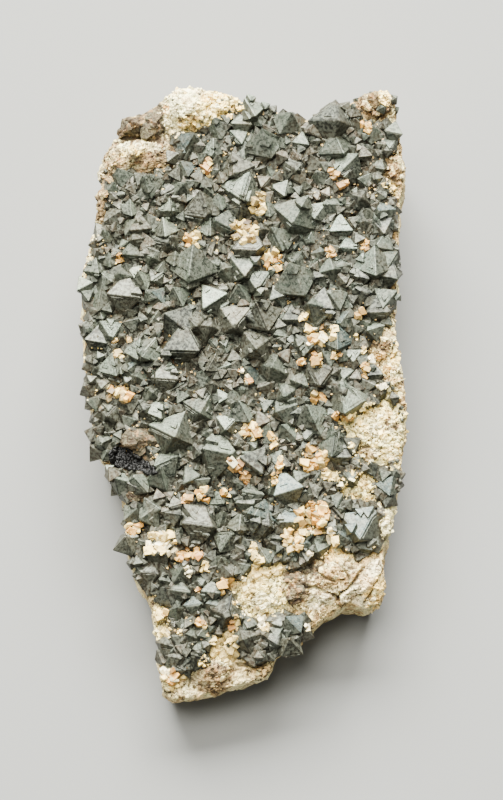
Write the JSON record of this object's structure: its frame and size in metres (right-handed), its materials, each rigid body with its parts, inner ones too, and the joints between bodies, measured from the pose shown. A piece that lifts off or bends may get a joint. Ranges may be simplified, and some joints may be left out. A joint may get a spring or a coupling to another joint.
{
  "type": "mineral specimen",
  "caption": "Mineral specimen of dark magnetite octahedra grown in a dense crust over a wedge-shaped slab of pale rock, lying on its flat underside.",
  "frame": {"origin": "centre of the bounding box's underside, on the flat face that the specimen lies on", "axes": "+Z up, away from the resting face, the shortest extent; +Y along the length, towards the thicker end, the longest extent; +X to the right across the width, seen from above with +Y up"},
  "size_m": [0.0665, 0.1228, 0.0347],
  "materials": {
    "magnetite": "satin, dull metallic",
    "matrix_rock": "rough"
  },
  "bodies": {
    "root": {"matrix": "matrix_rock", "main_druse": "magnetite", "rim_cluster": "magnetite", "rim_crystal": "magnetite"}
  },
  "joints": []
}
